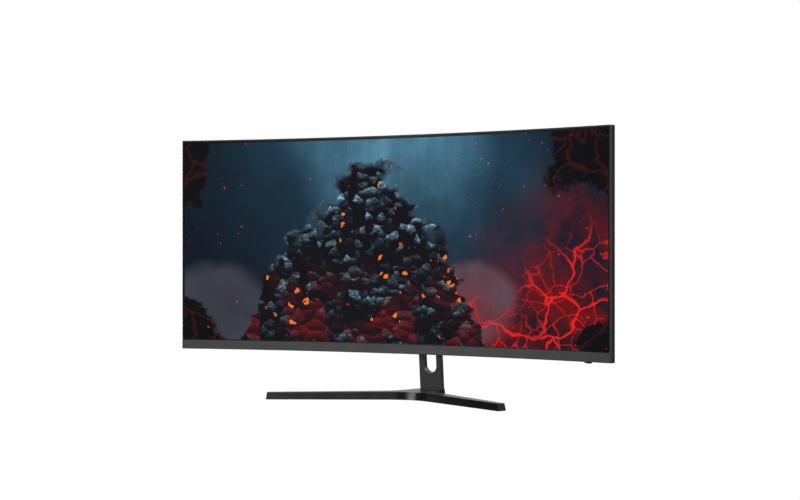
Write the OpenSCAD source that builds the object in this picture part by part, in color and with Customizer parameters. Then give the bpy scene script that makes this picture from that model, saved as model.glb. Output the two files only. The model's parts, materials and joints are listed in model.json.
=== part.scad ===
// Curved ultrawide computer monitor on a slotted column and a V-shaped base.
// X runs to the viewer's right, Y away from the viewer and Z up.
// The origin is on the desk, under the middle of the base.

/* [Screen head] */
// Length of the head along its curved front
head_arc = 804.6; // [790:0.2:820]
// Height of the head
head_h = 357; // [350:1:366]
// Radius of the curve, at the front face
curve_r = 1500; // [1450:10:1600]
// Height of the head's lower edge above the desk
head_z = 79.4; // [75:0.2:90]
// Place of the front face along Y, at the middle of the screen
head_y = -33; // [-36:0.5:-30]
// Width of the picture along the curve
picture_arc = 797.2; // [785:0.2:800]
// Height of the picture
picture_h = 334.8; // [325:0.1:335.5]
// Height of the strip below the picture
chin_h = 15.4; // [15:0.1:16.5]
// Thickness of the frame's lip over the picture
top_lip = 2.3; // [1.5:0.1:3]
// Thickness of the frame's lip at each side of the picture
side_lip = 0.8; // [0.8:0.1:1.4]
// Depth of the head at its edge
edge_depth = 12; // [11:0.1:13]
// Depth of the head's curved middle part
mid_depth = 27; // [25:0.5:30]
// Depth of the head at its flat back, at the middle
back_depth = 54; // [52:0.5:56]
// Wall of the plastic covers
wall = 2.4; // [2:0.1:3]

/* [Stand] */
// Width of the column
col_w = 42.2; // [41:0.2:44]
// Thickness of the column
col_t = 12; // [11.5:0.5:13]
// Forward lean of the column, in degrees
col_lean = 5; // [4:0.5:5]
// Front face of the column at its foot, along Y
col_y = 77.5; // [77:0.5:79]
// Height of the column's foot above the desk
col_z = 14.4; // [14.3:0.1:15.5]
// Length of the column
col_len = 256; // [255:1:260]
// Width of the cable slot in the column
slot_w = 24; // [22:0.2:25]
// Distance from one front tip corner of the base to the other
tip_span = 431.8; // [400:0.2:450]
// Front of the base at its tips, along Y
tip_y = -99; // [-105:1:-95]
// Height of the base at its tips
tip_h = 12.2; // [11:0.1:13]
// Height of the base's front edge at the middle
hub_h = 13.6; // [13.2:0.1:14]
// Angle of each front edge to X, in degrees
leg_angle = 28.45; // [27:0.05:30]
// Radius between the two front edges
crotch_r = 77; // [60:1:90]
// Thickness of the rubber feet
foot_t = 0.5; // [0.4:0.1:1]

/* [Hinge] */
// Height of the tilt axis above the desk
axis_z = 254; // [252:0.5:256]
// Distance from the head's flat back to the tilt axis
axis_gap = 23; // [22:0.5:23.5]
// Radius of the hinge pin
pin_r = 5; // [4:0.5:5]
// Radius that the bracket's ears have more than the pin
pin_play = 0.05; // [0.03:0.01:0.08]

/* [Joystick] */
// Place of the joystick along the curve, from the middle
stick_arc = 354.5; // [350:0.5:360]
// Depth of the joystick behind the front face
stick_depth = 11; // [11:0.1:11.5]
// Radius of the knob
knob_r = 4.2; // [4:0.1:4.4]
// How far the knob stands out below the head
knob_drop = 2.7; // [2:0.1:3]

/* [Hidden] */

// Spacing of the four free threaded holes of the standard mount
vesa = 100;
// Spacing of the four screws that hold the tilt bracket
bracket_holes = 75;
// Radius of an M4 thread
m4_r = 2;
// Facets of a full turn of the head's curve, fine enough for its long radius
arc_fn = 360;
head_top = head_z + head_h;
picture_z = head_top - top_lip - 3 - picture_h;
head_mid = (head_z + head_top) / 2;
seam_depth = 5;
bevel_h = 58;
bevel_arc = 95;
bulge_front = 8;
back_y = head_y + back_depth;
axis_y = back_y + axis_gap;

function ang(s) = s / curve_r * 180 / PI;
head_half = ang(head_arc / 2);

// Plan place of a point at a distance along the curve and a depth behind the front
function on_arc(s, d) = [
  (curve_r + d) * sin(ang(s)),
  head_y - curve_r + (curve_r + d) * cos(ang(s))
];

// ---- helpers for the curved head ----

// Sweeps a profile of depth and height round the head's curve
module curved(half)
  translate([0, head_y - curve_r, 0])
    rotate_extrude(start = 90 - half, angle = 2 * half, $fn = arc_fn) children();

// A curved sheet between two depths and two heights
module sheet(half, d0, d1, z0, z1)
  curved(half) translate([curve_r + d0, z0]) square([d1 - d0, z1 - z0]);

// Moves children to a place on the curve: local Y points straight back there
module at_arc(s, d, z)
  translate([0, head_y - curve_r, 0])
    rotate([0, 0, -ang(s)]) translate([0, curve_r + d, z]) children();

// A cylinder that points along +Y from y0 to y1
module rod_y(r, y0, y1, fn = 48)
  translate([0, y0, 0]) rotate([-90, 0, 0]) cylinder(r = r, h = y1 - y0, $fn = fn);

// A cylinder that points along +X from x0 to x1
module rod_x(r, x0, x1, fn = 48)
  translate([x0, 0, 0]) rotate([0, 90, 0]) cylinder(r = r, h = x1 - x0, $fn = fn);

// A box from its lowest to its highest corner
module box(low, high) translate(low) cube(high - low);

// A rectangle with round corners, about the origin
module round_rect(w, h, r) {
  square([w - 2 * r, h], center = true);
  square([w, h - 2 * r], center = true);
  for (x = [-1, 1], y = [-1, 1])
    translate([x * (w / 2 - r), y * (h / 2 - r)]) circle(r = r, $fn = 48);
}

// The four corners of a square of bolts on the head's back, at a depth along Y
module bolt_square(spacing, y)
  for (x = [-1, 1], z = [-1, 1])
    translate([x * spacing / 2, y, axis_z + z * spacing / 2]) children();

// A pan head screw along Y: its shank points to -Y and its head stands on y = 0
module screw_y(r, length, head_r, head_h) {
  rod_y(r, -length, 0.01);
  difference() {
    rod_y(head_r, 0, head_h);
    for (turn = [0, 90])
      rotate([0, turn, 0])
        box([-head_r * 0.6, head_h * 0.45, -0.35], [head_r * 0.6, head_h + 1, 0.35]);
  }
}

// ---- stand ----

// One half of the base from the tip to the middle, as pairs of floor points:
// the front edge, the rear edge, and the rear edge's height
front_vertex_y = tip_y + tip_span / 2 * tan(leg_angle);
crotch_run = crotch_r * tan(leg_angle);
crotch_x = crotch_run * cos(leg_angle);
crotch_y = front_vertex_y - crotch_run * sin(leg_angle);
crotch_c = [0, crotch_y - crotch_r * cos(leg_angle)];
tip_rear = [222.8, -84];
leg_end = [56, 19.3];
hub_arc_r = 59;
hub_turn = 48;
leg_heading = atan2(leg_end[1] - tip_rear[1], leg_end[0] - tip_rear[0]);
hub_c = leg_end + hub_arc_r * [cos(leg_heading - 90), sin(leg_heading - 90)];
function crotch(a) = crotch_c + crotch_r * [sin(a), cos(a)];
function hub_curve(a) = hub_c + hub_arc_r * [cos(leg_heading + 90 - a), sin(leg_heading + 90 - a)];
hub_rear_y = 99;
hub_rear_r = 20;
hub_rear_x = 24.3;
rear_turn = 10;
rear_c = [hub_rear_x - hub_rear_r, hub_rear_y - hub_rear_r];
hub_steps = 10;
rear_steps = 8;
leg_fall = hub_h - tip_h;

function mix(a, b, t) = a + (b - a) * t;
function ease(t) = t * t * (3 - 2 * t);

base_half = concat(
  [for (t = [0, 0.25, 0.5, 0.75])
    [mix([tip_span / 2, tip_y], [crotch_x, crotch_y], t), mix(tip_rear, leg_end, t),
     tip_h + leg_fall * t, tip_h + leg_fall * t]],
  [for (i = [0:hub_steps]) let (t = i / hub_steps)
    [crotch(leg_angle * (1 - 0.55 * t)), hub_curve(hub_turn * t), hub_h,
     mix(hub_h, col_z, ease(t))]],
  [for (i = [0:rear_steps]) let (t = i / rear_steps, a = mix(rear_turn, 90, t))
    [crotch(leg_angle * 0.4 * (1 - t)), rear_c + hub_rear_r * [cos(a), sin(a)], hub_h, col_z]]
);
base_last = len(base_half) - 1;
function mirrored(s) = [[-s[0][0], s[0][1]], [-s[1][0], s[1][1]], s[2], s[3]];
base_sections = concat(
  base_half,
  [[crotch(0), [0, hub_rear_y], hub_h, col_z]],
  [for (i = [base_last:-1:0]) mirrored(base_half[i])]
);
base_n = len(base_sections);
draft = tan(8);

// The ring of four corners of one section: floor front, top front, top rear, floor rear
function base_ring(s, end_pull) = let (
  across = (s[1] - s[0]) / norm(s[1] - s[0]),
  along = end_pull * [across[1], -across[0]],
  front_in = (s[2] - foot_t) * draft,
  rear_in = (s[3] - foot_t) * draft
) [
  [s[0][0], s[0][1], foot_t],
  concat(s[0] + across * front_in + along * front_in, s[2]),
  concat(s[1] - across * rear_in + along * rear_in, s[3]),
  [s[1][0], s[1][1], foot_t]
];

module base_body()
  polyhedron(
    points = [for (i = [0:base_n - 1]) each
      base_ring(base_sections[i], i == 0 ? -1 : i == base_n - 1 ? 1 : 0)],
    faces = concat(
      [[0, 1, 2, 3]],
      [for (i = [0:base_n - 2], k = [0:3])
        [4 * i + k, 4 * i + 4 + k, 4 * i + 4 + (k + 1) % 4, 4 * i + (k + 1) % 4]],
      [[for (k = [3:-1:0]) 4 * (base_n - 1) + k]]
    ),
    convexity = 6
  );

foot_block = [16, 7.5, 6];
foot_y = col_y + 6.2;
screw_x = 10;
module base_screw_places() for (x = [-screw_x, screw_x]) translate([x, foot_y, 0]) children();

module base_casting()
  color("#141416") difference() {
    base_body();
    box([-foot_block[0] - 0.1, foot_y - foot_block[1] - 0.1, foot_block[2]],
        [foot_block[0] + 0.1, foot_y + foot_block[1] + 0.1, 30]);
    base_screw_places() {
      translate([0, 0, -1]) cylinder(r = 2.8, h = 10, $fn = 48);
      translate([0, 0, -1]) cylinder(r = 5.2, h = 5, $fn = 48);
    }
  }

pad_l = 34;
pad_w = 8;
module foot_pad(w, l) linear_extrude(foot_t) round_rect(w, l, 2.8);
module base_feet()
  color("#1b1b1c") {
    for (side = [-1, 1], t = [0.1, 0.62])
      let (f = mix([tip_span / 2, tip_y], [crotch_x, crotch_y], t), r = mix(tip_rear, leg_end, t))
        translate([side * (f[0] + r[0]) / 2, (f[1] + r[1]) / 2])
          rotate([0, 0, -side * (leg_angle + 1.5)]) foot_pad(pad_l, pad_w);
    translate([0, 54, 0]) foot_pad(26, 10);
    translate([0, 93.4, 0]) foot_pad(22, 6);
  }

module base_screws()
  color("#a5a6a8") base_screw_places() difference() {
    union() {
      translate([0, 0, 1.2]) cylinder(r = 4.6, h = 2.8, $fn = 48);
      translate([0, 0, 3.9]) cylinder(r = 2.5, h = 9.4, $fn = 48);
    }
    translate([0, 0, 1]) cylinder(r = 2, h = 2, $fn = 6);
  }

module column_foot()
  color("#1a1a1c") difference() {
    box([-foot_block[0], foot_y - foot_block[1], foot_block[2]],
        [foot_block[0], foot_y + foot_block[1], col_z - 0.05]);
    base_screw_places() translate([0, 0, 5]) cylinder(r = 2.55, h = 8.6, $fn = 48);
  }

// Column's own frame: front face on y = 0, foot at z = 0, before it leans
module leaning() translate([0, col_y, col_z]) rotate([col_lean, 0, 0]) children();
slot_low = 27.3;
slot_high = 194;
notch_z = 226;
notch_half = 16.3;
core_front = 3.5;
core_rear = 8;
core_half = 17.2;
core_top = 254;
slot_wall = 1.5;
col_front_r = 1;
col_back_r = 5.2;
col_split = 6;
col_screw_z = [12, 207];
col_screw_y = 9.9;
block_screw_z = 240;
block_screw_x = 9;

module stadium(w, z0, z1, y0, y1)
  for (z = [z0 + w / 2, z1 - w / 2])
    translate([0, 0, z]) rod_y(w / 2, y0, y1, 64);
module slot_shape(w, z0, z1, y0, y1) {
  stadium(w, z0, z1, y0, y1);
  box([-w / 2, y0, z0 + w / 2], [w / 2, y1, z1 - w / 2]);
}
module column_slot(grow = 0)
  slot_shape(slot_w + 2 * grow, slot_low - grow, slot_high + grow, -1, col_t + 1);
// Plan of the column: nearly sharp in front and well rounded behind
module column_plan() {
  translate([-col_w / 2, col_front_r]) square([col_w, col_t - col_front_r - col_back_r]);
  translate([col_front_r - col_w / 2, 0]) square([col_w - 2 * col_front_r, col_split]);
  translate([col_back_r - col_w / 2, 1]) square([col_w - 2 * col_back_r, col_t - 1]);
  for (x = [-1, 1]) {
    translate([x * (col_w / 2 - col_front_r), col_front_r]) circle(r = col_front_r, $fn = 32);
    translate([x * (col_w / 2 - col_back_r), col_t - col_back_r]) circle(r = col_back_r, $fn = 64);
  }
}
module column_solid() translate([0, 0, -6]) linear_extrude(col_len + 6) column_plan();
module block_screw_places()
  for (x = [-1, 1]) translate([x * block_screw_x, 0, block_screw_z]) children();
// Cuts away what lies below the top of the foot block
module above_foot() intersection() {
  children();
  translate([-50, 0, col_z]) cube([100, 150, 320]);
}
module core_room()
  difference() {
    box([-core_half - 0.1, core_front - 0.1, -7], [core_half + 0.1, core_rear + 0.1, core_top + 0.2]);
    column_slot(slot_wall);
  }

module column_front_shell()
  color("#3a3a3b") above_foot() leaning() difference() {
    column_solid();
    column_slot();
    core_room();
    box([-30, col_split, -10], [30, 20, col_len + 10]);
    box([-notch_half, -1, notch_z], [notch_half, 8, col_len + 1]);
  }

module column_rear_shell()
  color("#232324") above_foot() leaning() difference() {
    column_solid();
    column_slot();
    core_room();
    box([-30, -10, -10], [30, col_split + 0.02, col_len + 10]);
    for (z = col_screw_z) translate([0, 0, z]) {
      rod_y(1.6, 5, 15);
      rod_y(3.1, col_screw_y - 0.1, 15);
    }
    block_screw_places() rod_y(3.8, 5, core_rear + 2.2);
  }

module column_core()
  color("#7b7d80") above_foot() leaning() difference() {
    box([-core_half, core_front, -6], [core_half, core_rear, core_top]);
    column_slot(slot_wall + 0.1);
    for (z = col_screw_z) translate([0, 0, z]) rod_y(1.55, 0, 12);
    block_screw_places() rod_y(2.05, 0, 12);
  }

module column_screws()
  color("#3a3b3c") leaning()
    for (z = col_screw_z) translate([0, col_screw_y, z]) screw_y(1.5, 6, 2.8, 1.6);

module column_top_cap()
  color("#232324") leaning() translate([0, 0, col_len + 0.1]) difference() {
    linear_extrude(2) column_plan();
    box([-notch_half, -1, -1], [notch_half, core_front, 3]);
  }

// ---- hinge ----

block_half = 16;
ear_in = 18.8;
ear_out = 21.8;
ear_r = 11.4;
module on_axis() translate([0, axis_y, axis_z]) children();

module hinge_block()
  color("#8d8f92") difference() {
    union() {
      on_axis() rod_x(ear_r, -block_half, block_half, 96);
      leaning() box([-block_half + 0.5, -8, 230], [block_half - 0.5, core_front - 0.02, 251]);
    }
    on_axis() rod_x(pin_r + 0.01, -20, 20, 96);
    leaning() block_screw_places() rod_y(2.05, -4, 12);
  }

module hinge_block_screws()
  color("#a5a6a8") leaning() block_screw_places() {
    rod_y(2, -3.8, core_rear);
    rod_y(3.4, core_rear, core_rear + 1.4);
  }

module hinge_pin()
  color("#b9bbbe") on_axis() {
    rod_x(pin_r, -31, 31, 96);
  }

module hinge_nuts()
  color("#b0b2b5") on_axis() for (side = [0, 1]) mirror([side, 0, 0]) difference() {
    rod_x(8.2, 24.7, 29.5, 6);
    rod_x(pin_r + 0.01, 20, 40, 96);
  }

module hinge_ring(r, x0, x1)
  difference() {
    rod_x(r, x0, x1, 72);
    rod_x(pin_r + 0.01, x0 - 1, x1 + 1, 96);
  }
module spring_washers()
  color("#c9cacc") on_axis() for (side = [0, 1]) mirror([side, 0, 0])
    for (i = [0:1]) hinge_ring(9.4 - i * 0.8, 22.1 + i * 1.3, 23.4 + i * 1.3);

module friction_discs()
  color("#6b6457") on_axis() for (side = [0, 1]) mirror([side, 0, 0])
    for (i = [0:1]) hinge_ring(ear_r - 0.6 - i * 0.5, block_half + i * 1.25, block_half + 1.25 + i * 1.25);

plate_t = 3;
plate_half = 43;
module ear()
  difference() {
    union() {
      rod_x(ear_r, ear_in, ear_out, 96);
      box([ear_in, -axis_gap + 0.05, -ear_r], [ear_out, 0, ear_r]);
      box([ear_in, -axis_gap + 0.05, -24], [ear_out, -axis_gap + 9, 24]);
    }
    rod_x(pin_r + pin_play, 0, 40, 96);
  }
module tilt_bracket()
  color("#5c5e61") difference() {
    union() {
      translate([0, back_y + 0.05 + plate_t, axis_z]) rotate([90, 0, 0])
        linear_extrude(plate_t) round_rect(2 * plate_half, 2 * plate_half, 6);
      on_axis() for (side = [0, 1]) mirror([side, 0, 0]) ear();
    }
    bolt_square(bracket_holes, 0) rod_y(m4_r + 0.2, back_y - 5, back_y + 9);
  }

module bracket_screws()
  color("#a5a6a8") bolt_square(bracket_holes, back_y + 0.05 + plate_t) screw_y(m4_r, 9, 3.6, 2.2);

// Trim that hides the bracket: a shallow dish with a window for the ears
shroud_half = 45;
shroud_t = 8;
window = [26, 27];
module bracket_shroud()
  color("#1c1c1d") translate([0, back_y + shroud_t, axis_z]) rotate([90, 0, 0]) difference() {
    linear_extrude(shroud_t - 0.05) round_rect(2 * shroud_half, 2 * shroud_half, 10);
    translate([0, 0, 1.8]) linear_extrude(shroud_t)
      round_rect(2 * plate_half + 0.6, 2 * plate_half + 0.6, 5.5);
    translate([0, 0, -1]) linear_extrude(shroud_t) round_rect(2 * window[0], 2 * window[1], 5);
  }

// ---- rear of the head ----

vesa_t = 2.5;
vesa_plate_w = 121;
vesa_y = back_y - wall - 0.1;
module vesa_plate()
  color("#6f7174") difference() {
    translate([0, vesa_y, axis_z]) rotate([90, 0, 0]) linear_extrude(vesa_t)
      round_rect(vesa_plate_w, vesa_plate_w, 8);
    bolt_square(bracket_holes, 0) rod_y(m4_r + 0.05, vesa_y - 9, vesa_y + 9);
    bolt_square(vesa, 0) rod_y(m4_r, vesa_y - 9, vesa_y + 9);
    translate([0, 0, axis_z]) rod_y(22, vesa_y - 9, vesa_y + 9, 72);
  }

tray_y = head_y + 12;
tray_t = 1;
post_places = [[-15, 204], [15, 204], [-40, 307], [40, 307]];
module vesa_posts()
  color("#8b8d90") for (p = post_places) translate([p[0], 0, p[1]]) difference() {
    rod_y(4, tray_y + tray_t, vesa_y - vesa_t - 0.02);
    rod_y(1.5, tray_y + 3, vesa_y);
  }

// Plan points of the flat bevel at one end, for a skin set in by a distance
function bevel_points(inset) = let (
  outer = on_arc(head_arc / 2, edge_depth),
  inner = on_arc(head_arc / 2 - bevel_arc, mid_depth),
  u = (inner - outer) / norm(inner - outer),
  n = [u[1], -u[0]],
  a = outer - n * inset - u * 40,
  b = inner - n * inset + u * 160
) [a, b, b + n * 90, a + n * 90];

function rear_profile(inset) = let (front = inset > 0 ? seam_depth - 2 : seam_depth) [
  [front, head_z + inset],
  [edge_depth - inset * 0.3, head_z + inset],
  [mid_depth - inset, head_z + bevel_h + inset * 0.6],
  [mid_depth - inset, head_top - bevel_h - inset * 0.6],
  [edge_depth - inset * 0.3, head_top - inset],
  [front, head_top - inset]
];

module rear_volume(inset)
  difference() {
    curved(head_half - ang(inset))
      polygon([for (p = rear_profile(inset)) [curve_r + p[0], p[1]]]);
    for (side = [0, 1]) mirror([side, 0, 0])
      translate([0, 0, head_z - 5]) linear_extrude(head_h + 10) polygon(bevel_points(inset));
  }

// The raised middle of the back, narrowing to the flat that carries the stand
bulge_foot = [460, 236];
bulge_flat = [340, 184];
module bulge(inset) {
  hull() {
    translate([0, head_y + bulge_front, head_mid]) rotate([90, 0, 0]) linear_extrude(0.1)
      round_rect(bulge_foot[0] - 2 * inset, bulge_foot[1] - 2 * inset, 26);
    translate([0, back_y - inset, head_mid]) rotate([90, 0, 0]) linear_extrude(0.1)
      round_rect(bulge_flat[0] - 2 * inset, bulge_flat[1] - 2 * inset, 18);
  }
}

// Recess for the sockets, open downwards and to the back
bay_x = [46, 158];
bay_z = 190;
bay_y = head_y + 24;
module bay(grow)
  box([bay_x[0] - grow, bay_y - grow, head_z + 30], [bay_x[1] + grow, back_y + 20, bay_z + grow]);

// Housing of the joystick, at the lower edge
pod_x = [-14, 9.5];
pod_d = [seam_depth, 19.4];
pod_h = 30;
module pod(inset)
  at_arc(stick_arc, 0, head_z)
    box([pod_x[0] + inset, pod_d[0] - (inset > 0 ? 2 : 0), inset],
        [pod_x[1] - inset, pod_d[1] - inset, pod_h - inset * 0.5]);

cover_screw_arc = 285;
cover_screw_z = [165, 258, 350];
module cover_screw_places(d)
  for (side = [-1, 1], z = cover_screw_z) at_arc(side * cover_screw_arc, d, z) children();

vent_n = 26;
vent_low_n = 15;
vent_pitch = 9;
vent_rise = 98;
vent_tilt = 33;
led_x = -7.4;
lens_r = 1.7;
lens_drop = 2.4;
knob_hole_r = knob_r + 1.1;
lock_x = -130;
lock_z = 196;
module rear_cover()
  color("#1f1f20") difference() {
    union() {
      rear_volume(0);
      bulge(0);
      pod(0);
    }
    difference() {
      union() {
        rear_volume(wall);
        bulge(wall);
        pod(1.6);
      }
      bay(wall);
    }
    bay(0);
    // window in the recess's ceiling for the socket plate
    box([bay_x[0] + 5, bay_y + 4, bay_z - 1], [bay_x[1] - 5, bay_y + 18, bay_z + wall + 1]);
    // vent slots over and under the flat of the back
    for (side = [-1, 1], i = [0:(side > 0 ? vent_n : vent_low_n) - 1])
      translate([(i - (vent_n - 1) / 2) * vent_pitch, 0, head_mid + side * vent_rise])
        rotate([-side * vent_tilt, 0, 0]) box([-1.6, head_y + 10, -8], [1.6, back_y + 40, 8]);
    bolt_square(bracket_holes, 0) rod_y(m4_r + 0.4, back_y - 5, back_y + 5);
    bolt_square(vesa, 0) rod_y(4, back_y - 5, back_y + 5);
    cover_screw_places(0) {
      rod_y(1.7, mid_depth - 5, mid_depth + 1);
      rod_y(3.4, mid_depth - 1, mid_depth + 1);
    }
    translate([lock_x, 0, lock_z]) box([-3.5, back_y - 5, -1.5], [3.5, back_y + 5, 1.5]);
    // knob and lamp holes
    at_arc(stick_arc, stick_depth, head_z - 1) {
      cylinder(r = knob_hole_r, h = 4, $fn = 64);
      translate([led_x, 0, 0]) cylinder(r = lens_r + 0.1, h = 4, $fn = 48);
    }
  }

module rear_cover_screws()
  color("#a5a6a8") cover_screw_places(mid_depth - 0.95) screw_y(1.5, 8, 3, 0.9);

chassis_rear = 6.5;
module chassis_posts()
  color("#8b8d90") cover_screw_places(0) difference() {
    rod_y(3.8, chassis_rear + 0.02, mid_depth - wall - 0.05);
    rod_y(1.55, chassis_rear + 3, mid_depth);
  }

module lock_plate()
  color("#6f7174") translate([lock_x, 0, lock_z]) difference() {
    box([-9, vesa_y - 2, -6], [9, vesa_y, 6]);
    box([-3.5, vesa_y - 5, -1.5], [3.5, vesa_y + 5, 1.5]);
  }

// ---- front of the head ----

frame_depth = 4.6;
chin_top = head_z + chin_h;
chin_back = 2;
chin_leg = 1.3;
module middle_frame()
  color("#37373a") difference() {
    sheet(head_half, 0, frame_depth, head_z + chin_leg + 0.2, head_top);
    sheet(head_half - ang(side_lip), -1, frame_depth + 1, head_z + 4.8, head_top - top_lip);
    sheet(head_half + 0.2, -1, chin_back, head_z - 1, chin_top + 0.2);
    // clearance for the joystick's housing
    at_arc(stick_arc, 0, head_z) box([-10, frame_depth - 0.9, 0], [8, frame_depth + 1, 6]);
  }

module chin_strip()
  color("#454547") curved(head_half + ang(0.3)) polygon([
    for (p = [
      [0, head_z + 0.7], [0.7, head_z], [frame_depth, head_z], [frame_depth, head_z + chin_leg],
      [chin_back - 0.1, head_z + chin_leg], [chin_back - 0.1, chin_top], [0.25, chin_top],
      [0, chin_top - 0.25]
    ]) [curve_r + p[0], p[1]]
  ]);

glass_d = [0.8, 1.9];
film_d = 0.55;
module lcd_glass()
  color("#08080a")
    sheet(head_half - ang(side_lip + 0.1), glass_d[0], glass_d[1], chin_top + 0.1,
          head_top - top_lip - 0.1);

module front_polariser()
  color("#10202c")
    sheet(ang(picture_arc / 2), film_d, glass_d[0] - 0.05, picture_z, picture_z + picture_h);

mould_d = [2, 4.9];
module panel_frame()
  color("#1a1a1b") difference() {
    sheet(head_half - ang(side_lip + 0.2), mould_d[0], mould_d[1], head_z + 7, head_top - top_lip - 0.2);
    sheet(head_half - ang(side_lip + 1.8), 1, 6, head_z + 10.2, head_top - top_lip - 1.8);
  }

film_half = head_half - ang(side_lip + 2);
film_low = head_z + 13.2;
film_high = head_top - top_lip - 2;
module film(d0, d1) sheet(film_half, d0, d1, film_low, film_high);
module prism_film() color("#c8ccd0") film(2.1, 2.35);
module diffuser_film() color("#e6e6e2") film(2.45, 2.75);
module light_guide() color("#dfe8ea") film(2.85, 4.65);
module reflector_film() color("#f2f2f0") film(4.75, 4.9);

led_n = 48;
led_pitch = 16;
module led_bar() {
  color("#dcdcd6") sheet(film_half, 2.85, 4.85, head_z + 10.6, head_z + 11.6);
  color("#f4f0c0") for (i = [0:led_n - 1])
    at_arc((i - (led_n - 1) / 2) * led_pitch, 0, head_z)
      box([-1.8, 3.1, 11.59], [1.8, 4.6, 13]);
}

module panel_chassis()
  color("#9a9c9e") difference() {
    sheet(head_half - ang(wall + 0.2), 5.5, chassis_rear, head_z + 14, head_top - top_lip - 1.2);
    for (x = [-1, 1]) at_arc(x * 200, 0, head_z + 26) rod_y(3, 4, 8);
  }

source_arc = [-150, 150];
module source_boards()
  color("#1f5b34") for (s = source_arc)
    at_arc(s, chassis_rear + 1, head_z + 20) box([-130, 0, 0], [130, 1, 14]);

flex_n = 4;
module source_flexes()
  color("#b8772c") for (s = source_arc, i = [0:flex_n - 1])
    at_arc(s + (i - (flex_n - 1) / 2) * 60, 0, 0)
      box([-14, 5.1, head_z + 13], [14, 5.3, head_z + 24]);

module tcon_board()
  color("#1f5b34") translate([0, tray_y + 3, axis_z + 44]) box([-32, 0, 0], [32, 1.4, 26]);

module display_cable()
  color("#c9c4b4") {
    box([-10, tray_y + 2.2, 181], [10, tray_y + 2.7, axis_z + 43.9]);
    box([-10, tray_y - 2.1, 178], [10, tray_y + 2.7, 180.9]);
  }

// ---- electronics ----

tray_x = 165;
tray_z = [184, 336];
module board_tray()
  color("#a9abad") difference() {
    box([-tray_x, tray_y, tray_z[0]], [tray_x, tray_y + 7, tray_z[1]]);
    box([-tray_x + 1, tray_y + tray_t, tray_z[0] + 1], [tray_x - 1, tray_y + 9, tray_z[1] - 1]);
    box([-11, tray_y + tray_t, tray_z[0] - 1], [11, tray_y + 9, tray_z[0] + 2]);
  }

board_y = tray_y + 15;
board_t = 1.6;
main_x = [20, 162];
main_z = [bay_z + wall + 2, 286];
power_x = [-156, -24];
power_z = [192, 262];
board_holes = [for (x = main_x, z = main_z) [x, z]];
power_holes = [for (x = power_x, z = power_z) [x, z]];
function toward(p, c, by) = [p[0] + (p[0] < c[0] ? by : -by), p[1] + (p[1] < c[1] ? by : -by)];
main_c = [(main_x[0] + main_x[1]) / 2, (main_z[0] + main_z[1]) / 2];
power_c = [(power_x[0] + power_x[1]) / 2, (power_z[0] + power_z[1]) / 2];
hole_places = concat(
  [for (p = board_holes) toward(p, main_c, 4)],
  [for (p = power_holes) toward(p, power_c, 4)]
);
module at_board_holes() for (p = hole_places) translate([p[0], 0, p[1]]) children();

module board_standoffs()
  color("#b9a15a") at_board_holes() difference() {
    rod_y(2.6, tray_y + tray_t, board_y - 0.02, 6);
    rod_y(1.3, tray_y + tray_t + 0.5, board_y + 1);
  }

module main_board()
  color("#1d6b3a") difference() {
    box([main_x[0], board_y, main_z[0]], [main_x[1], board_y + board_t, main_z[1]]);
    at_board_holes() rod_y(1.6, board_y - 1, board_y + 3);
  }

module power_board()
  color("#8a6a34") difference() {
    box([power_x[0], board_y, power_z[0]], [power_x[1], board_y + board_t, power_z[1]]);
    at_board_holes() rod_y(1.6, board_y - 1, board_y + 3);
  }

board_rear = board_y + board_t;
module board_screws()
  color("#c2c3c5") at_board_holes() translate([0, board_rear, 0]) screw_y(1.25, 5, 2.6, 1.6);

module chip(x, z, w, h, t)
  translate([x, board_rear + 0.02, z]) box([-w / 2, 0, -h / 2], [w / 2, t, h / 2]);
scaler = [92, 250];
module main_board_chips()
  color("#161617") {
    chip(scaler[0], scaler[1], 27, 27, 2);
    for (x = [62, 122]) chip(x, 258, 9, 13, 1.2);
    for (x = [44, 140], z = [224, 236]) chip(x, z, 6, 5, 1.2);
    chip(70, 224, 14, 8, 1.4);
  }

fin_n = 9;
module heat_sink()
  color("#b4b6b8") translate([scaler[0], board_rear + 2.05, scaler[1]]) {
    box([-20, 0, -20], [20, 2, 20]);
    for (i = [0:fin_n - 1])
      translate([(i - (fin_n - 1) / 2) * 4.6, 0, 0]) box([-0.6, 1.99, -20], [0.6, 9, 20]);
  }

module power_parts() {
  for (i = [0:3])
    color("#2b2b4a") translate([-146 + i * 16, 0, 212]) rod_y(6, board_rear + 0.02, board_rear + 20, 40);
  color("#3a3027") translate([-70, 0, 220]) difference() {
    rod_y(11, board_rear + 0.02, board_rear + 9, 48);
    rod_y(5, board_rear - 1, board_rear + 12, 48);
  }
  color("#161617") for (x = [-130, -90, -50]) chip(x, 246, 10, 15, 4.4);
}

// ---- sockets, all facing down into the recess ----

socket_z = bay_z + 0.6;
socket_y = board_rear + 0.05;
hdmi_x = [76, 95];
dp_x = [114, 133];
module hdmi_sockets()
  color("#b9bbbd") for (x = hdmi_x) translate([x, socket_y, socket_z]) difference() {
    box([-7.8, 0, 0], [7.8, 6.2, 12]);
    difference() {
      translate([0, 3.1, -1]) linear_extrude(11) polygon([
        [-7, 2.3], [7, 2.3], [7, -0.6], [5.2, -2.3], [-5.2, -2.3], [-7, -0.6]
      ]);
      box([-5.6, 2.4, 0.6], [5.6, 3.4, 11]);
    }
  }

module displayport_sockets()
  color("#b9bbbd") for (x = dp_x) translate([x, socket_y, socket_z]) difference() {
    box([-8.8, 0, 0], [8.8, 6.6, 13]);
    difference() {
      translate([0, 3.3, -1]) linear_extrude(11) polygon([
        [-8, 2.4], [8, 2.4], [8, -2.4], [-6.4, -2.4], [-8, -0.8]
      ]);
      box([-6.4, 2.7, 0.6], [6.4, 3.8, 11]);
    }
  }

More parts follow.
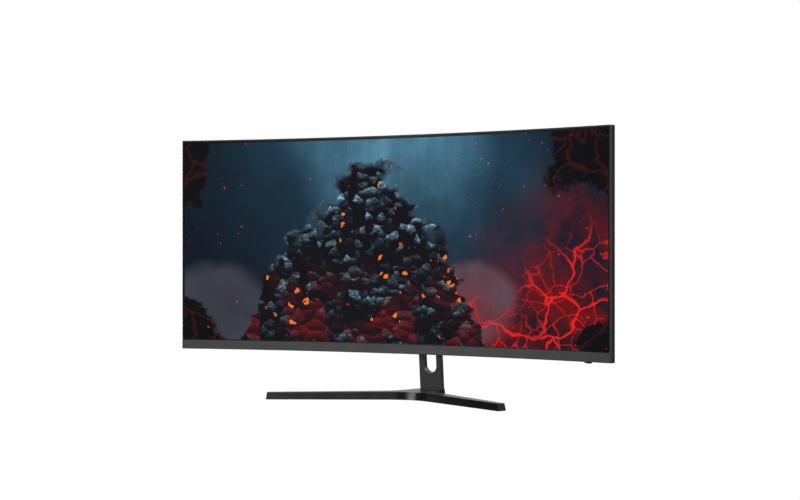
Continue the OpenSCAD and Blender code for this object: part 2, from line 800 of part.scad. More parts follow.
jack_r = 1.8;
jack_x = 147;
module audio_jack()
  color("#18181a") translate([jack_x, socket_y + 3.2, socket_z]) difference() {
    box([-3.2, -3.15, 0], [3.2, 3.2, 14]);
    translate([0, 0, -1]) cylinder(r = jack_r, h = 13, $fn = 48);
  }

dc_x = 58;
module dc_inlet()
  color("#18181a") translate([dc_x, socket_y + 4.6, socket_z]) {
    difference() {
      box([-4.5, -4.55, 0], [4.5, 4.6, 14]);
      translate([0, 0, -1]) cylinder(r = 2.85, h = 10.5, $fn = 48);
    }
    translate([0, 0, 1]) cylinder(r = 1.2, h = 8.51, $fn = 32);
  }

module io_plate()
  color("#8f9193") difference() {
    box([bay_x[0] + 2, bay_y + 2, bay_z + wall + 0.1], [bay_x[1] - 2, bay_y + 19.5, bay_z + wall + 0.9]);
    for (x = hdmi_x) box([x - 8, socket_y - 1, bay_z], [x + 8, socket_y + 6.4, bay_z + 9]);
    for (x = dp_x) box([x - 9, socket_y - 1, bay_z], [x + 9, socket_y + 6.8, bay_z + 9]);
    box([jack_x - 3.4, socket_y - 1, bay_z], [jack_x + 3.4, socket_y + 6.6, bay_z + 9]);
    box([dc_x - 4.7, socket_y - 1, bay_z], [dc_x + 4.7, socket_y + 9.4, bay_z + 9]);
  }

// ---- joystick: its own frame has z = 0 at the head's lower edge ----

pivot_z = 7;
ring_h = 1.6;
trunnion_r = 0.5;
trunnion_play = 0.07;
module at_stick() at_arc(stick_arc, stick_depth, head_z) children();
module at_pivot() at_stick() translate([0, 0, pivot_z]) children();
module tube(ro, ri, h)
  difference() {
    translate([0, 0, -h / 2]) cylinder(r = ro, h = h, $fn = 64);
    translate([0, 0, -h]) cylinder(r = ri, h = 2 * h, $fn = 64);
  }

module joystick_housing()
  color("#26262a") at_stick() difference() {
    box([-6, -5.8, 4.4], [6, 6, 10.4]);
    translate([0, 0, 3]) cylinder(r = 4.6, h = 6.5, $fn = 64);
    translate([0, 0, pivot_z]) rod_x(trunnion_r + trunnion_play, -5.6, 5.6, 32);
  }

module key_board()
  color("#1d6b3a") at_stick() box([-11, -5.4, 10.45], [7, 6, 11.4]);

module joystick_gimbal()
  color("#d8d8d2") at_pivot() {
    difference() {
      tube(4.3, 2.9, ring_h);
      rod_y(trunnion_r + trunnion_play, -5, 5, 32);
    }
    for (side = [0, 1]) mirror([side, 0, 0]) rod_x(trunnion_r, 4.1, 5.3, 32);
  }

module joystick_cradle()
  color("#b8b8b4") at_pivot() {
    tube(2.6, 1.27, ring_h);
    for (side = [0, 1]) mirror([0, side, 0]) rod_y(trunnion_r, 2.45, 3.6, 32);
  }

module joystick_stem()
  color("#9a9a96") at_stick() translate([0, 0, 1.5]) cylinder(r = 1.2, h = 7.2, $fn = 48);

module joystick_knob()
  color("#0c0c0d") at_stick() rotate_extrude($fn = 96) polygon([
    [0, 1.5], [knob_r, 1.5], [knob_r, 0.7 - knob_drop], [knob_r - 0.25, 0.25 - knob_drop],
    [knob_r - 0.7, -knob_drop], [1.6, -knob_drop], [1.2, 0.35 - knob_drop], [0, 0.45 - knob_drop]
  ]);

module led_lens()
  color("#3c6fd8") at_stick() translate([led_x, 0, -lens_drop]) {
    cylinder(r = lens_r, h = 3 + lens_drop, $fn = 48);
    translate([0, 0, 3 + lens_drop]) cylinder(r = 1.1, h = 7.4, $fn = 48);
  }

base_casting();
base_feet();
base_screws();
column_foot();
column_core();
column_front_shell();
column_rear_shell();
column_screws();
column_top_cap();
hinge_block();
hinge_block_screws();
hinge_pin();
hinge_nuts();
spring_washers();
friction_discs();
tilt_bracket();
bracket_screws();
bracket_shroud();
vesa_plate();
vesa_posts();
rear_cover();
rear_cover_screws();
chassis_posts();
middle_frame();
chin_strip();
lcd_glass();
front_polariser();
panel_frame();
prism_film();
diffuser_film();
light_guide();
reflector_film();
led_bar();
panel_chassis();
source_boards();
source_flexes();
tcon_board();
display_cable();
board_tray();
board_standoffs();
main_board();
main_board_chips();
heat_sink();
power_board();
power_parts();
board_screws();
hdmi_sockets();
displayport_sockets();
audio_jack();
dc_inlet();
io_plate();
lock_plate();
key_board();
joystick_housing();
joystick_gimbal();
joystick_cradle();
joystick_stem();
joystick_knob();
led_lens();
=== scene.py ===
"""The looks of a curved ultrawide monitor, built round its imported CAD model."""
import json
import math

import bpy
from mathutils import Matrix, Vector


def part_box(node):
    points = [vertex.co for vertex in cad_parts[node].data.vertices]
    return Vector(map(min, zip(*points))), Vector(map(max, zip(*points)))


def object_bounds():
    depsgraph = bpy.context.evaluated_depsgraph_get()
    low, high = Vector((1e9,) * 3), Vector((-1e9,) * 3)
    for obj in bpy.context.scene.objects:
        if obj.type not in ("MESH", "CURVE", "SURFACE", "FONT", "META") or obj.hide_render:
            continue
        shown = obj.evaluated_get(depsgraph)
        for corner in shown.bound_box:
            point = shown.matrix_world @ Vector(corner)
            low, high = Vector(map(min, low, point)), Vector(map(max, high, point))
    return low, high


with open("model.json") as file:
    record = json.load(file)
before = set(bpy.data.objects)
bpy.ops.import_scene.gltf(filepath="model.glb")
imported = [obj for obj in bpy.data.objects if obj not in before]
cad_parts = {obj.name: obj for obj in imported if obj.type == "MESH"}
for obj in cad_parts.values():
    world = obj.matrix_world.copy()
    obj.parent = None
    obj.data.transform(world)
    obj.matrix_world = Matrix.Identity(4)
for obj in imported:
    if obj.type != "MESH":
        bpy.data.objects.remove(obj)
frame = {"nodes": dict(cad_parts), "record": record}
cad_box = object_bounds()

nodes = frame["nodes"]
MM = 0.001
# the head's curve: its radius, the front of its middle, half its length and its side lip
CURVE_RADIUS = 1500 * MM
HEAD_FRONT = -33 * MM
HALF_LENGTH = 402.3 * MM
SIDE_LIP = 1.0 * MM
SIDE_LIP_TURN = (HALF_LENGTH - SIDE_LIP) / CURVE_RADIUS
# faces meeting more steeply than this keep a crisp edge, and steeper ones are softened
CRISP_ANGLE = math.radians(28)
SOFT_ANGLE = math.radians(40)

# ---------------------------------------------------------------- camera

# the camera stands level, this far from a point just in front of the screen
VIEW_AZIMUTH = math.radians(30.15)
VIEW_DISTANCE = 2.8957
VIEW_HEIGHT = 0.2501
VIEW_SIDE = 0.0038
VIEW_AHEAD = 0.75 * MM
LENS = 79.87
SENSOR_WIDTH = 36
SHIFT_UP = -0.001
FAR_LIMIT = 60


def make_camera():
    data = bpy.data.cameras.new("camera")
    data.lens = LENS
    data.sensor_width = SENSOR_WIDTH
    data.shift_y = SHIFT_UP
    data.clip_end = FAR_LIMIT
    camera = bpy.data.objects.new("camera", data)
    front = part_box("front_polariser")[1].y - VIEW_AHEAD
    target = Vector((VIEW_SIDE, front, VIEW_HEIGHT))
    away = Vector((math.sin(VIEW_AZIMUTH), -math.cos(VIEW_AZIMUTH), 0))
    camera.location = target + away * VIEW_DISTANCE
    camera.rotation_euler = (math.pi / 2, 0, VIEW_AZIMUTH)
    bpy.context.scene.collection.objects.link(camera)
    bpy.context.scene.camera = camera


# ---------------------------------------------------------------- shader helpers


class Shader:
    """A material being made, with short names for its nodes."""

    def __init__(self, name, **surface):
        self.material = bpy.data.materials.new(name)
        self.material.use_nodes = True
        self.tree = self.material.node_tree
        self.surface = self.tree.nodes["Principled BSDF"]
        self.output = self.tree.nodes["Material Output"]
        for key, value in surface.items():
            self.set(key.replace("_", " "), value)

    @classmethod
    def reopen(cls, material):
        """The helper for a material that is already made."""
        s = cls.__new__(cls)
        s.material, s.tree = material, material.node_tree
        s.surface = s.tree.nodes["Principled BSDF"]
        s.output = s.tree.nodes["Material Output"]
        return s

    def set(self, name, value):
        self.feed(self.surface.inputs[name], value)

    def feed(self, socket, value):
        if isinstance(value, bpy.types.NodeSocket):
            self.tree.links.new(value, socket)
        elif socket.type == "RGBA" and len(value) == 3:
            socket.default_value = (*value, 1)
        else:
            socket.default_value = value

    def node(self, kind, settings=None, **inputs):
        made = self.tree.nodes.new("ShaderNode" + kind)
        for key, value in (settings or {}).items():
            setattr(made, key, value)
        for key, value in inputs.items():
            self.feed(made.inputs[key.replace("_", " ")], value)
        return made

    def place(self):
        return self.node("TexCoord").outputs["Object"]

    def scaled(self, place, x, y, z):
        made = self.node("Mapping", Vector=place, Scale=(x, y, z))
        return made.outputs["Vector"]

    def math(self, op, a, b=0.0):
        made = self.node("Math", {"operation": op})
        self.feed(made.inputs[0], a)
        self.feed(made.inputs[1], b)
        return made.outputs[0]

    def add(self, a, b):
        return self.math("ADD", a, b)

    def sub(self, a, b):
        return self.math("SUBTRACT", a, b)

    def mul(self, a, b):
        return self.math("MULTIPLY", a, b)

    def ramp(self, value, low, high, to_low=0.0, to_high=1.0, smooth=True):
        kind = "SMOOTHSTEP" if smooth else "LINEAR"
        made = self.node("MapRange", {"interpolation_type": kind}, Value=value)
        ends = {"From Min": low, "From Max": high, "To Min": to_low, "To Max": to_high}
        for name, number in ends.items():
            self.feed(made.inputs[name], number)
        return made.outputs["Result"]

    def mix(self, share, a, b):
        made = self.node("Mix", {"data_type": "RGBA"})
        self.feed(made.inputs["Factor"], share)
        self.feed(made.inputs[6], a)
        self.feed(made.inputs[7], b)
        return made.outputs[2]

    def noise(self, place, scale, detail=2.0, rough=0.5, warp=0.0):
        made = self.node("TexNoise", Vector=place, Scale=scale, Detail=detail,
                         Roughness=rough, Distortion=warp)
        return made.outputs["Fac"]

    def cells(self, place, scale, feature="F1", spread=1.0):
        made = self.node("TexVoronoi", {"feature": feature}, Vector=place, Scale=scale,
                         Randomness=spread)
        return made.outputs["Distance"]

    def stepped(self, place, scale):
        """A scaled place that jumps at the edges of square cells, so that lines break there."""
        jump = self.node("TexVoronoi", {"distance": "MANHATTAN"}, Vector=place, Scale=scale / 9)
        made = self.node("VectorMath", {"operation": "MULTIPLY_ADD"})
        self.feed(made.inputs[0], place)
        self.feed(made.inputs[1], (scale, scale, scale))
        self.feed(made.inputs[2], jump.outputs["Color"])
        return made.outputs[0]

    def stripe(self, along, width):
        """0 on a thin line in each unit, 1 between the lines."""
        return self.math("GREATER_THAN", self.math("FRACT", along), width)

    def bump(self, height, strength, depth):
        made = self.node("Bump", Height=height, Strength=strength, Distance=depth)
        self.set("Normal", made.outputs["Normal"])


def shade(colour, factor):
    return tuple(min(1.0, c * factor) for c in colour)


def spotted(s, colour, place, scale, spread):
    """A colour that drifts a little lighter and darker."""
    drift = s.noise(place, scale, 3)
    s.set("Base Color", s.mix(drift, shade(colour, 1 - spread), shade(colour, 1 + spread)))


def moulded(name, colour, rough=0.5, grain=0.5 * MM, height=0.03 * MM):
    """Moulded plastic: a fine spark texture, and wear that changes the gloss slightly."""
    s = Shader(name)
    place = s.place()
    spotted(s, colour, place, 14, 0.06)
    wear = s.noise(place, 30, 4)
    s.set("Roughness", s.ramp(wear, 0.3, 0.7, rough - 0.05, rough + 0.05))
    if grain:
        s.bump(s.noise(place, 1 / grain, 3, 0.6), 0.35, height)
    return s.material


def painted(name, colour, rough=0.3):
    """Sprayed or powder paint: a soft orange-peel surface over metal."""
    s = Shader(name)
    place = s.place()
    spotted(s, colour, place, 20, 0.1)
    s.set("Roughness", s.ramp(s.noise(place, 20, 2), 0.3, 0.7, rough - 0.02, rough + 0.03))
    s.bump(s.noise(place, 300, 2), 0.05, 0.01 * MM)
    return s.material


def metal(name, colour, rough=0.35):
    """Bare or plated metal with a fine even grain."""
    s = Shader(name)
    s.set("Metallic", 1.0)
    place = s.place()
    spotted(s, colour, place, 90, 0.12)
    grain = s.noise(place, 1500, 4, 0.6)
    s.set("Roughness", s.ramp(grain, 0.25, 0.75, rough - 0.1, rough + 0.12))
    s.bump(grain, 0.15, 0.01 * MM)
    return s.material


def circuit(name, mask):
    """A printed board: solder mask over copper tracks, with tinned pads."""
    s = Shader(name)
    place = s.place()
    across = s.node("SeparateXYZ", Vector=s.stepped(place, 320))
    gaps = s.math("MINIMUM", s.stripe(across.outputs["X"], 0.16),
                  s.stripe(across.outputs["Z"], 0.2))
    tracks = s.mul(s.sub(1.0, gaps), s.ramp(s.noise(place, 90, 2), 0.45, 0.6))
    colour = s.mix(tracks, shade(mask, 0.8), shade(mask, 1.9))
    pads = s.ramp(s.cells(place, 260), 0.12, 0.16, 1, 0)
    some = s.math("GREATER_THAN", s.noise(place, 60, 2), 0.56)
    tin = s.mul(pads, some)
    s.set("Base Color", s.mix(tin, colour, (0.62, 0.6, 0.56)))
    s.set("Metallic", tin)
    s.set("Roughness", s.ramp(s.noise(place, 200, 3), 0.3, 0.7, 0.28, 0.4))
    s.bump(s.add(tracks, tin), 0.3, 0.03 * MM)
    return s.material


def dotted(name, colour):
    """A clear or white optical sheet with its fine printed dots."""
    s = Shader(name)
    place = s.place()
    dots = s.ramp(s.cells(place, 700, spread=0.15), 0.28, 0.36, 1, 0)
    s.set("Base Color", s.mix(s.mul(dots, 0.35), colour, (0.95, 0.95, 0.94)))
    s.set("Roughness", s.ramp(dots, 0, 1, 0.12, 0.5))
    s.set("Coat Weight", 0.4)
    s.bump(dots, 0.2, 0.01 * MM)
    return s.material


def turned(name, colour, rough=0.3):
    """A part turned or stamped about the tilt axis, with fine rings."""
    s = Shader(name)
    s.set("Metallic", 1.0)
    low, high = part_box("hinge_pin")
    middle = (low + high) / 2
    moved = s.node("Mapping", {"vector_type": "POINT"}, Vector=s.place(),
                   Location=(0, -middle.y, -middle.z)).outputs["Vector"]
    flat = s.node("SeparateXYZ", Vector=moved)
    y, z = flat.outputs["Y"], flat.outputs["Z"]
    far = s.math("SQRT", s.add(s.mul(y, y), s.mul(z, z)))
    rings = s.node("TexNoise", {"noise_dimensions": "1D"}, W=far, Scale=9000.0,
                   Detail=2.0).outputs["Fac"]
    spotted(s, colour, s.place(), 300, 0.1)
    s.set("Roughness", s.ramp(rings, 0.3, 0.7, rough - 0.08, rough + 0.1))
    s.bump(rings, 0.25, 0.01 * MM)
    return s.material


def lipped(name, colour, rough=0.42):
    """The frame: satin grey plastic, black on its narrow front lips beside the picture."""
    material = moulded(name, colour, rough, 0.4 * MM, 0.02 * MM)
    s = Shader.reopen(material)
    place = s.node("SeparateXYZ", Vector=s.place())
    ahead = s.add(place.outputs["Y"], CURVE_RADIUS - HEAD_FRONT)
    reach = s.math("ABSOLUTE", place.outputs["X"])
    turn = s.math("ARCTAN2", reach, ahead)
    radius = s.math("SQRT", s.add(s.mul(ahead, ahead), s.mul(reach, reach)))
    side = s.math("GREATER_THAN", turn, SIDE_LIP_TURN)
    front = s.math("LESS_THAN", radius, CURVE_RADIUS + 0.2 * MM)
    plain = s.surface.inputs["Base Color"].links[0].from_socket
    lip = s.mix(front, plain, (0.022, 0.022, 0.023))
    s.set("Base Color", s.mix(s.mul(side, front), lip, (0.003, 0.003, 0.0035)))
    return s.material


def coated_glass(name, colour):
    """Black border glass under an anti-glare coat."""
    s = Shader(name)
    place = s.place()
    spotted(s, colour, place, 25, 0.08)
    s.set("Roughness", s.ramp(s.noise(place, 45, 3), 0.3, 0.7, 0.26, 0.32))
    s.set("Specular IOR Level", 0.16)
    s.bump(s.noise(place, 4000, 2), 0.05, 0.005 * MM)
    return s.material


def light_pipe(name, colour):
    """A clear blue light pipe that glows in soft clouds."""
    s = Shader(name, Roughness=0.12)
    glow = s.noise(s.place(), 900, 2)
    s.set("Base Color", s.mix(glow, shade(colour, 0.6), colour))
    s.set("Emission Color", s.mix(glow, (0.02, 0.06, 0.3), (0.07, 0.2, 0.85)))
    s.set("Emission Strength", 0.55)
    s.set("Coat Weight", 0.5)
    return s.material


RECIPES = {
    "painted_metal": painted,
    "brushed_steel": metal,
    "aluminium": metal,
    "brass": metal,
    "rubber": lambda name, colour: moulded(name, colour, 0.75, 0.35 * MM, 0.04 * MM),
    "matte_plastic": moulded,
    "gloss_plastic": lambda name, colour: moulded(name, colour, 0.2, None),
}


# nodes whose looks need more than their class: colour, then the recipe's other values
LOOKS = {
    "base_casting": ((0.007, 0.007, 0.0075), 0.21),
    # the column's front shell is coloured far lighter than its rear shell: painted light, standing
    # in for the light that the head above shades from it
    "column_front_shell": ((0.13, 0.13, 0.132), 0.45),
    "column_rear_shell": ((0.02, 0.02, 0.021), 0.5),
    "chin_strip": ((0.057, 0.057, 0.057), 0.48),
    "middle_frame": ((0.085, 0.085, 0.086), 0.45),
    "rear_cover": ((0.026, 0.026, 0.027), 0.46),
    "bracket_shroud": ((0.03, 0.03, 0.031), 0.5),
}


# nodes with a recipe of their own
OWN_RECIPES = {
    "middle_frame": lipped,
    "led_lens": light_pipe,
    "lcd_glass": coated_glass,
    "light_guide": dotted,
    "reflector_film": dotted,
    "diffuser_film": dotted,
    "prism_film": dotted,
}
CIRCUITS = ("main_board", "power_board", "tcon_board", "source_boards", "key_board")
OWN_RECIPES.update({node: circuit for node in CIRCUITS})
TURNED = ("hinge_pin", "hinge_nuts", "spring_washers", "friction_discs")
OWN_RECIPES.update({node: turned for node in TURNED})


# nodes whose outer edges are softened, and by how much
SOFT_EDGES = {
    "base_casting": 0.5 * MM,
    "column_front_shell": 0.25 * MM,
    "column_rear_shell": 0.25 * MM,
    "hinge_block": 0.4 * MM,
    "tilt_bracket": 0.3 * MM,
    "bracket_shroud": 0.5 * MM,
    "rear_cover": 0.35 * MM,
    "joystick_knob": 0.15 * MM,
}


def smooth(node):
    """Soft shading over gentle turns and crisp edges at sharp ones."""
    mesh = nodes[node].data
    mesh.polygons.foreach_set("use_smooth", [True] * len(mesh.polygons))
    mesh.set_sharp_from_angle(angle=CRISP_ANGLE)
    if node in SOFT_EDGES:
        soft = nodes[node].modifiers.new("edge", "BEVEL")
        soft.width = SOFT_EDGES[node]
        soft.segments = 2
        soft.limit_method = "ANGLE"
        soft.angle_limit = SOFT_ANGLE
        soft.harden_normals = False


def dress_all():
    """Every CAD node takes the recipe of its class in the record's own colour."""
    slots = {m["slot"]: m for m in frame["record"]["materials"]}
    for part in frame["record"]["subparts"]:
        finish = slots[part["material_slot"]]
        recipe = OWN_RECIPES.get(part["node"], RECIPES[finish["class"]])
        look = LOOKS.get(part["node"], (tuple(finish["base_color"][:3]),))
        put(part["node"], recipe(finish["slot"], *look))
        smooth(part["node"])


def put(node, material):
    mesh = nodes[node].data
    mesh.materials.clear()
    mesh.materials.append(material)


# ---------------------------------------------------------------- the lit picture


def tint(red, green, blue):
    """A linear colour from 0-255 display values."""
    return tuple((c / 255 / 12.92) if c <= 10 else ((c / 255 + 0.055) / 1.055) ** 2.4
                 for c in (red, green, blue))


class Picture(Shader):
    """An abstract wallpaper: teal mist, dark faceted rocks, smoke and glowing cracks.

    u runs from 0 at the left to 1 at the right, v from 0 at the bottom to 1 at the top,
    and the flat place has the picture's height as its unit."""

    def __init__(self, name, low, high):
        super().__init__(name)
        split = self.node("SeparateXYZ", Vector=self.place())
        self.u = self.ramp(split.outputs["X"], low.x, high.x, smooth=False)
        self.v = self.ramp(split.outputs["Z"], low.z, high.z, smooth=False)
        self.wide = (high.x - low.x) / (high.z - low.z)
        across = self.mul(self.u, self.wide)
        self.flat = self.node("CombineXYZ", X=across, Y=self.v).outputs["Vector"]

    def around(self, u, v, reach, squeeze=1.0):
        """1 at a point of the picture, falling softly to 0 at a reach in picture heights."""
        dx = self.mul(self.sub(self.u, u), self.wide * squeeze)
        dy = self.sub(self.v, v)
        far = self.math("SQRT", self.add(self.mul(dx, dx), self.mul(dy, dy)))
        return self.ramp(far, 0, reach, 1, 0)

    def warped(self, amount, scale):
        """The flat place, pushed about by a slow noise."""
        push = self.node("TexNoise", Vector=self.flat, Scale=scale, Detail=3).outputs["Color"]
        centred = self.node("VectorMath", {"operation": "SUBTRACT"})
        self.feed(centred.inputs[0], push)
        self.feed(centred.inputs[1], (0.5, 0.5, 0.5))
        pushed = self.node("VectorMath", {"operation": "MULTIPLY_ADD"})
        self.feed(pushed.inputs[0], centred.outputs[0])
        self.feed(pushed.inputs[1], (amount, amount, amount))
        self.feed(pushed.inputs[2], self.flat)
        return pushed.outputs[0]

    def sky(self):
        """Dark teal mist with a bright opening at the top and faint falling rays."""
        haze = self.noise(self.warped(0.25, 2.0), 2.2, 6, 0.55)
        low = self.mix(self.v, tint(17, 22, 34), tint(10, 29, 43))
        glow = self.around(0.5, 1.0, 1.05, 0.8)
        core = self.around(0.49, 1.06, 0.62, 0.9)
        rays = self.noise(self.scaled(self.flat, 7, 0.35, 1), 1.6, 5, 0.6)
        picture = self.mix(self.mul(glow, 0.85), low, tint(50, 92, 118))
        beams = self.mul(core, self.ramp(rays, 0.2, 0.8, 0.45, 1))
        picture = self.mix(beams, picture, tint(110, 178, 208))
        return self.mix(self.ramp(haze, 0.3, 0.75, 0.55, 0), picture, tint(8, 14, 22))

    def smoke(self, picture, u, v, reach, colour, seed, squeeze=1.0):
        place = self.scaled(self.warped(0.5, 1.7 + seed * 0.31), 1.0, 1.25, 1)
        body = self.noise(place, 2.1 + seed * 0.23, 7, 0.5, 0.25)
        share = self.mul(self.around(u, v, reach, squeeze), 1.75)
        cloud = self.ramp(self.add(body, self.sub(share, 1.0)), 0.3, 0.75)
        shadow = self.ramp(self.noise(place, 5.2, 5), 0.25, 0.75, 0.55, 1)
        return self.mix(self.mul(cloud, 0.9), picture, self.mix(shadow, (0.02, 0.02, 0.03), colour))

    def ember_glow(self, picture):
        """Red light from the right, with bright cracks and a stream."""
        heat = self.around(0.98, 0.14, 0.86, 0.95)
        low_heat = self.around(0.66, -0.1, 0.6, 0.45)
        red = self.noise(self.warped(0.5, 2.4), 3.3, 6, 0.6)
        near = self.math("MAXIMUM", heat, low_heat)
        warm = self.mul(near, self.ramp(red, 0.3, 0.66))
        picture = self.mix(self.mul(warm, 0.95), picture, tint(128, 12, 16))
        place = self.warped(0.35, 3.1)
        for scale, width, peak in ((3.2, 0.03, 0.95), (9.0, 0.04, 0.6)):
            edge = self.cells(place, scale, "DISTANCE_TO_EDGE")
            crack = self.ramp(edge, 0, width, 1, 0)
            there = self.ramp(self.mul(near, self.add(red, 0.3)), 0.28, 0.6)
            line = self.mul(self.mul(crack, there), peak)
            picture = self.mix(line, picture, tint(240, 34, 30))
        return picture

    def stones(self, place, scale):
        """Broken stones of one size: their light, bright on top, and a random share for each."""
        stone = self.node("TexVoronoi", Vector=place, Scale=scale)
        middle = self.node("SeparateXYZ", Vector=stone.outputs["Position"]).outputs["Y"]
        own = self.node("SeparateXYZ", Vector=stone.outputs["Color"])
        here = self.node("SeparateXYZ", Vector=place).outputs["Y"]
        slope = self.mul(self.sub(here, middle), scale)
        crease = self.ramp(self.cells(place, scale, "DISTANCE_TO_EDGE"), 0.0, 0.06, 0.25, 1)
        return self.mul(self.ramp(slope, -0.35, 0.6), crease), own.outputs["X"], own.outputs["Y"]

    def rocks(self, picture):
        """Dark broken rocks in the middle, lit cold from above, with small orange glints."""
        rough = self.sub(self.noise(self.flat, 5, 6, 0.6), 0.5)
        tops = None
        heaps = ((0.43, 0.9, 0.2), (0.29, 0.56, 0.15), (0.5, 0.72, 0.13), (0.58, 0.5, 0.12))
        for u, top, spread in heaps:
            off = self.math("ABSOLUTE", self.sub(self.u, u))
            slope = self.sub(top, self.mul(self.mul(off, off), top / spread ** 2))
            tops = slope if tops is None else self.math("MAXIMUM", tops, slope)
        place = self.warped(0.09, 6)
        jag = self.sub(self.cells(place, 11), 0.4)
        outline = self.add(self.add(tops, self.mul(rough, 0.55)), self.mul(jag, 0.16))
        shape = self.sub(outline, self.v)
        mask = self.ramp(shape, 0.0, 0.02)
        big, big_own, _ = self.stones(place, 8)
        mid, mid_own, mid_warm = self.stones(place, 21)
        small, small_own, small_warm = self.stones(self.warped(0.04, 12), 52)
        light = self.mul(self.add(big, 0.25), self.mul(mid, self.ramp(mid_own, 0.35, 1.0)))
        light = self.mul(light, self.ramp(small_own, 0.0, 1.0, 0.45, 1.3))
        light = self.mul(light, self.add(small, 0.35))
        lit = self.mul(light, self.ramp(self.v, 0.05, 0.85, 0.35, 1.1))
        edge = self.ramp(shape, 0.0, 0.09, 0.55, 0)
        bright = self.math("MINIMUM", self.mul(lit, 1.5), 1.0)
        stone = self.mix(bright, tint(12, 14, 20), tint(150, 188, 210))
        rim = self.mul(edge, self.ramp(self.v, 0.3, 0.9))
        stone = self.mix(rim, stone, tint(84, 122, 146))
        under = self.mul(self.ramp(self.v, 0.46, 0.0), self.ramp(big_own, 0.35, 0.95))
        glowing = self.mul(under, self.add(mid, 0.15))
        stone = self.mix(self.mul(glowing, 0.8), stone, tint(118, 22, 26))
        few = self.math("GREATER_THAN", small_warm, 0.965)
        warm = self.mul(few, self.ramp(mid_warm, 0.72, 0.9))
        stone = self.mix(warm, stone, tint(244, 118, 40))
        return self.mix(mask, picture, stone)

    def frame_of_rock(self, picture):
        """Near-black rock along the left, upper right and lower corners."""
        rough = self.noise(self.warped(0.2, 3), 4.2, 7, 0.6)
        left = self.ramp(self.u, 0.0, 0.12, 1.0, 0)
        right = self.ramp(self.u, 0.74, 1.0, 0, 1.0)
        high = self.mul(self.math("MAXIMUM", left, right), self.ramp(self.v, 0.42, 0.95))
        corners = self.math("MAXIMUM", self.around(0.0, 0.0, 0.42), self.around(1.0, 0.0, 0.36))
        strength = self.math("MAXIMUM", high, corners)
        mask = self.ramp(self.add(rough, self.mul(strength, 0.75)), 0.86, 0.93)
        veins = self.ramp(self.cells(self.warped(0.3, 4), 6, "DISTANCE_TO_EDGE"), 0, 0.07, 1, 0)
        rock = self.mix(self.mul(veins, 0.5), tint(10, 9, 11), tint(70, 22, 22))
        return self.mix(mask, picture, rock)

    def embers(self, picture):
        """Small sparks, more of them to the right."""
        for scale, size in ((16.0, 0.11), (31.0, 0.13)):
            spot = self.node("TexVoronoi", Vector=self.warped(0.1, 5), Scale=scale)
            chosen = self.node("SeparateXYZ", Vector=spot.outputs["Color"]).outputs["Z"]
            gate = self.ramp(self.u, 0.1, 1.0, 0.93, 0.76, smooth=False)
            lit = self.mul(self.math("GREATER_THAN", chosen, gate),
                           self.ramp(spot.outputs["Distance"], 0, size, 1, 0))
            picture = self.mix(lit, picture, tint(255, 62, 40))
        return picture

    def paint(self):
        picture = self.sky()
        picture = self.smoke(picture, 0.06, 0.1, 0.62, tint(64, 68, 78), 0, 0.8)
        picture = self.smoke(picture, 0.3, 0.0, 0.34, tint(84, 74, 86), 1, 0.6)
        picture = self.smoke(picture, 0.68, 0.2, 0.44, tint(96, 78, 90), 2, 0.8)
        picture = self.ember_glow(picture)
        picture = self.rocks(picture)
        picture = self.frame_of_rock(picture)
        picture = self.embers(picture)
        self.set("Base Color", (0.003, 0.003, 0.004))
        self.set("Emission Color", picture)
        self.set("Emission Strength", 1.0)
        self.set("Roughness", 0.5)
        self.set("Specular IOR Level", 0.04)
        return self.material


dress_all()
put("front_polariser", Picture("lit_picture", *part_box("front_polariser")).paint())


# ---------------------------------------------------------------- studio


def area_light(name, place, aim, size, power):
    data = bpy.data.lights.new(name, "AREA")
    data.shape = "RECTANGLE"
    data.size, data.size_y = size
    data.energy = power
    lamp = bpy.data.objects.new(name, data)
    lamp.location = place
    lamp.rotation_euler = (Vector(aim) - Vector(place)).to_track_quat("-Z", "Y").to_euler()
    lamp.visible_camera = False
    bpy.context.scene.collection.objects.link(lamp)


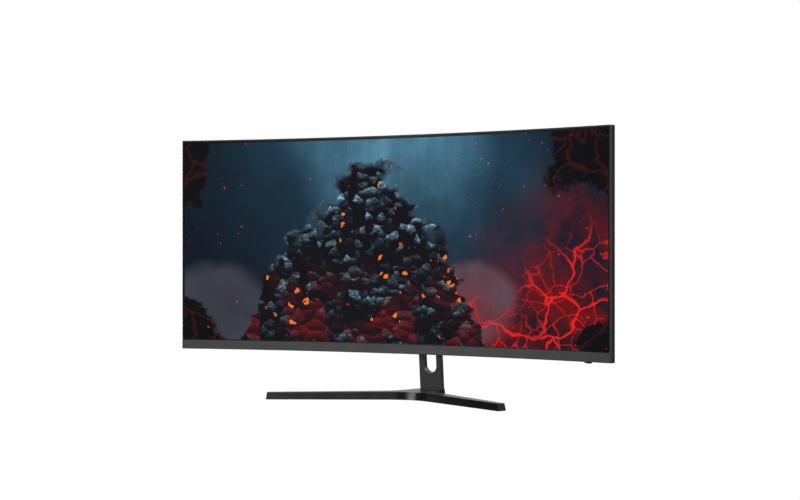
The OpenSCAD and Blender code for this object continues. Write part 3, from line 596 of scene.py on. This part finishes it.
# place (m), size (m) and power (W) of each soft light, all aimed at the middle of the object
LIGHTS = {
    "key": ((2.6, -2.2, 2.0), (1.4, 1.2), 58),
    "front_high": ((-0.6, -2.8, 2.4), (1.8, 1.2), 46),
    "low_fill": ((1.0, -3.2, 0.3), (1.4, 0.4), 5),
    "left_fill": ((-1.8, -2.9, 0.3), (1.2, 0.5), 15),
    "right_fill": ((3.2, 0.3, 0.9), (1.0, 1.2), 3),
    "back_paper": ((-2.3, 3.8, 0.75), (2.6, 1.5), 5),
    "top": ((0.0, 0.3, 3.0), (2.4, 2.4), 16),
    "rear_fill": ((1.6, 3.0, 2.2), (1.6, 1.2), 40),
    "rear_key": ((-1.9, 2.6, 2.5), (2.0, 1.4), 45),
}
PAPER_WHITE = 1.0
ROOM_GREY = 0.045
FLOOR_SIZE = 60


def make_floor():
    """A white sweep that shows no shadow and lights nothing."""
    bpy.ops.mesh.primitive_plane_add(size=FLOOR_SIZE)
    floor = bpy.context.object
    floor.name = "floor"
    s = Shader("floor_white", Roughness=1.0, Specular_IOR_Level=0.0)
    s.set("Base Color", (0.01, 0.01, 0.01))
    s.set("Emission Color", (1, 1, 1))
    s.set("Emission Strength", PAPER_WHITE)
    floor.data.materials.append(s.material)
    floor.visible_diffuse = False
    floor.visible_glossy = False


def make_room():
    """White where the camera looks, and a dim grey room to light the object."""
    world = bpy.data.worlds.new("studio")
    world.use_nodes = True
    tree = world.node_tree
    room = tree.nodes["Background"]
    room.inputs["Color"].default_value = (1, 1, 1, 1)
    room.inputs["Strength"].default_value = ROOM_GREY
    seen = tree.nodes.new("ShaderNodeBackground")
    seen.inputs["Color"].default_value = (1, 1, 1, 1)
    seen.inputs["Strength"].default_value = PAPER_WHITE
    path = tree.nodes.new("ShaderNodeLightPath")
    mix = tree.nodes.new("ShaderNodeMixShader")
    tree.links.new(path.outputs["Is Camera Ray"], mix.inputs[0])
    tree.links.new(room.outputs[0], mix.inputs[1])
    tree.links.new(seen.outputs[0], mix.inputs[2])
    tree.links.new(mix.outputs[0], tree.nodes["World Output"].inputs["Surface"])
    bpy.context.scene.world = world
    bpy.context.scene.view_settings.view_transform = "Standard"


def make_studio():
    make_floor()
    make_room()
    low, high = cad_box
    centre = tuple((a + b) / 2 for a, b in zip(low, high))
    for name, (place, size, power) in LIGHTS.items():
        area_light(name, place, centre, size, power)


make_camera()
make_studio()
